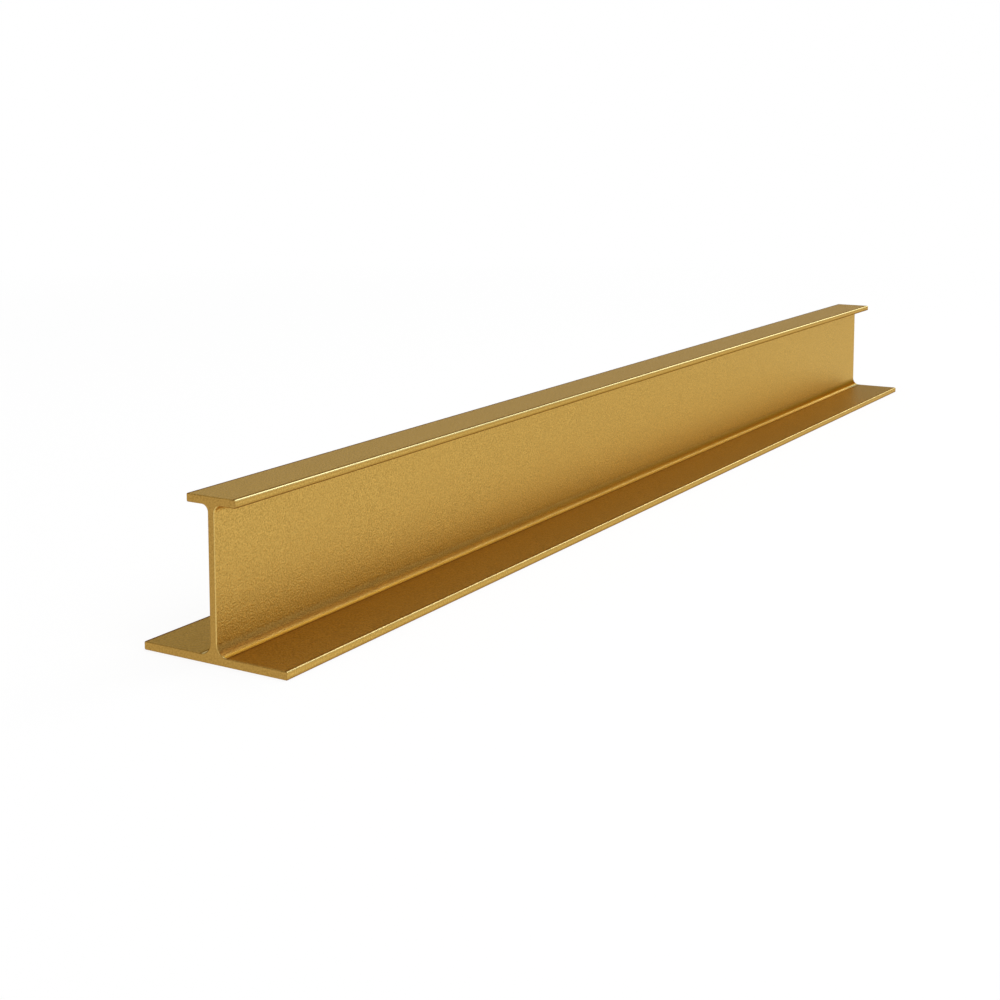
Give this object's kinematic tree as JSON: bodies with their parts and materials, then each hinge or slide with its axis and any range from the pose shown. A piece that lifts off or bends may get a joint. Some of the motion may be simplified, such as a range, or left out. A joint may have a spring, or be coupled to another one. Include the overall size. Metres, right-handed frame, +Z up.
{
  "type": "aluminium h-profile",
  "caption": "Straight gold-anodised aluminium H-profile with a wide base flange, a tall web and a narrow top flange, for joining and edging panels.",
  "frame": {"origin": "middle of the underside of the wide base flange, halfway along the bar", "axes": "+X along the bar, +Y across the flanges, +Z up from the underside to the narrow top flange"},
  "size_m": [1, 0.094, 0.087],
  "materials": {
    "anodised_aluminium": "fine-blasted satin, gold anodised"
  },
  "bodies": {
    "root": {"h_profile": "anodised_aluminium"}
  },
  "joints": []
}
